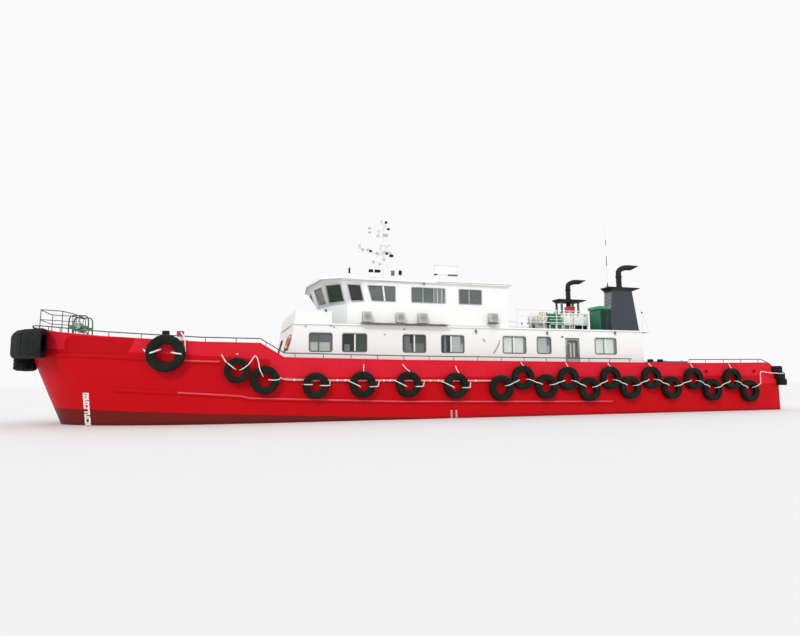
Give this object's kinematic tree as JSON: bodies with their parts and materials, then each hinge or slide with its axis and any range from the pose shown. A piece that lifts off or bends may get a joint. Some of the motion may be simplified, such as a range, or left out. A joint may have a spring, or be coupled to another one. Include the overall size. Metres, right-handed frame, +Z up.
{
  "type": "tugboat",
  "caption": "Long low steel tugboat with raised forecastle, rubber bow fender, tyre rows, white deckhouse and wheelhouse, twin funnels, propellers and rudders.",
  "frame": {"origin": "on the waterline and the centreline, 18.86 m ahead of the transom", "axes": "+X towards the bow, +Y to port, +Z up"},
  "size_m": [38.969, 8.24, 14.4],
  "materials": {
    "hull_red": "gloss",
    "bulwark_red": "gloss",
    "fender_rubber": "matte",
    "tyre_rubber": "matte",
    "house_white": "satin",
    "rail_dark": "satin",
    "deck_green": "matte",
    "machine_green": "satin",
    "slate_grey": "satin",
    "black_paint": "satin",
    "raft_cream": "gloss",
    "ring_orange": "matte",
    "unit_grey": "satin",
    "bronze": "satin",
    "shaft_steel": "satin"
  },
  "bodies": {
    "boat": {"hull": "hull_red", "forecastle": "hull_red", "bulwark_bow": "bulwark_red", "bulwark_port": "bulwark_red", "bulwark_starboard": "bulwark_red", "bulwark_stern": "bulwark_red", "bow_fender": "fender_rubber", "stern_fender_port": "fender_rubber", "stern_fender_starboard": "fender_rubber", "bow_tyre_port": "tyre_rubber", "bow_tyre_starboard": "tyre_rubber", "side_tyres_port": "tyre_rubber", "side_tyres_starboard": "tyre_rubber", "bulwark_rail_port": "rail_dark", "bulwark_rail_starboard": "rail_dark", "bow_rail": "rail_dark", "bow_pulpit": "rail_dark", "windlass_frame": "machine_green", "bitts_forward_port": "black_paint", "bitts_forward_starboard": "black_paint", "bitts_aft_port": "black_paint", "bitts_aft_starboard": "black_paint", "hatch_coaming": "hull_red", "deckhouse_walls": "house_white", "boat_deck": "deck_green", "upper_house_walls": "house_white", "wheelhouse_roof": "house_white", "front_parapet": "house_white", "helm_console": "unit_grey", "cooling_units_port": "unit_grey", "cooling_units_starboard": "unit_grey", "funnel_port": "slate_grey", "funnel_starboard": "slate_grey", "exhaust_port": "black_paint", "exhaust_starboard": "black_paint", "mast": "house_white", "radar_pedestal": "house_white", "name_board": "house_white", "life_raft": "raft_cream", "deck_machine": "machine_green", "deck_boxes": "house_white", "red_locker": "hull_red", "vent_locker": "machine_green", "guard_rail_port": "house_white", "guard_rail_starboard": "house_white", "life_ring_port": "ring_orange", "shaft_bracket_port": "shaft_steel", "shaft_bracket_starboard": "shaft_steel"},
    "windlass_drum": {"windlass_drum": "machine_green"},
    "hatch_lid": {"hatch_lid": "rail_dark"},
    "side_door_port": {"side_door_port": "house_white"},
    "side_door_starboard": {"side_door_starboard": "house_white"},
    "aft_door": {"aft_door": "house_white"},
    "upper_door": {"upper_door": "house_white"},
    "radar_scanner": {"radar_scanner": "black_paint"},
    "propeller_port": {"propeller_port": "bronze"},
    "propeller_starboard": {"propeller_starboard": "bronze"},
    "rudder_port": {"rudder_port": "shaft_steel"},
    "rudder_starboard": {"rudder_starboard": "shaft_steel"}
  },
  "joints": [
    {"name": "windlass_turn", "type": "hinge", "parent": "boat", "child": "windlass_drum", "pos_m": [17.23, 0, 4.15], "axis": [0, 1, 0], "continuous": true},
    {"name": "hatch_swing", "type": "hinge", "parent": "boat", "child": "hatch_lid", "pos_m": [-13.24, 0, 2.73], "axis": [0, 1, 0], "range_deg": [0, 100]},
    {"name": "port_door_swing", "type": "hinge", "parent": "boat", "child": "side_door_port", "pos_m": [-5.69, 2.824, 2.945], "axis": [0, 0, -1], "range_deg": [0, 100]},
    {"name": "starboard_door_swing", "type": "hinge", "parent": "boat", "child": "side_door_starboard", "pos_m": [-5.69, -2.824, 2.945], "axis": [0, 0, 1], "range_deg": [0, 100]},
    {"name": "aft_door_swing", "type": "hinge", "parent": "boat", "child": "aft_door", "pos_m": [-10.524, 1.65, 2.945], "axis": [0, 0, -1], "range_deg": [0, 110]},
    {"name": "upper_door_swing", "type": "hinge", "parent": "boat", "child": "upper_door", "pos_m": [-2.474, 0.5, 5.315], "axis": [0, 0, -1], "range_deg": [0, 110]},
    {"name": "radar_turn", "type": "hinge", "parent": "boat", "child": "radar_scanner", "pos_m": [4.03, 0.9, 7.21], "axis": [0, 0, 1], "continuous": true},
    {"name": "port_propeller_turn", "type": "hinge", "parent": "boat", "child": "propeller_port", "pos_m": [-16.45, 1.7, -1.15], "axis": [1, 0, 0], "continuous": true},
    {"name": "starboard_propeller_turn", "type": "hinge", "parent": "boat", "child": "propeller_starboard", "pos_m": [-16.45, -1.7, -1.15], "axis": [1, 0, 0], "continuous": true},
    {"name": "port_rudder_turn", "type": "hinge", "parent": "boat", "child": "rudder_port", "pos_m": [-17.6, 1.7, -1.2], "axis": [0, 0, 1], "range_deg": [-35, 35]},
    {"name": "starboard_rudder_turn", "type": "hinge", "parent": "boat", "child": "rudder_starboard", "pos_m": [-17.6, -1.7, -1.2], "axis": [0, 0, 1], "range_deg": [-35, 35]}
  ]
}
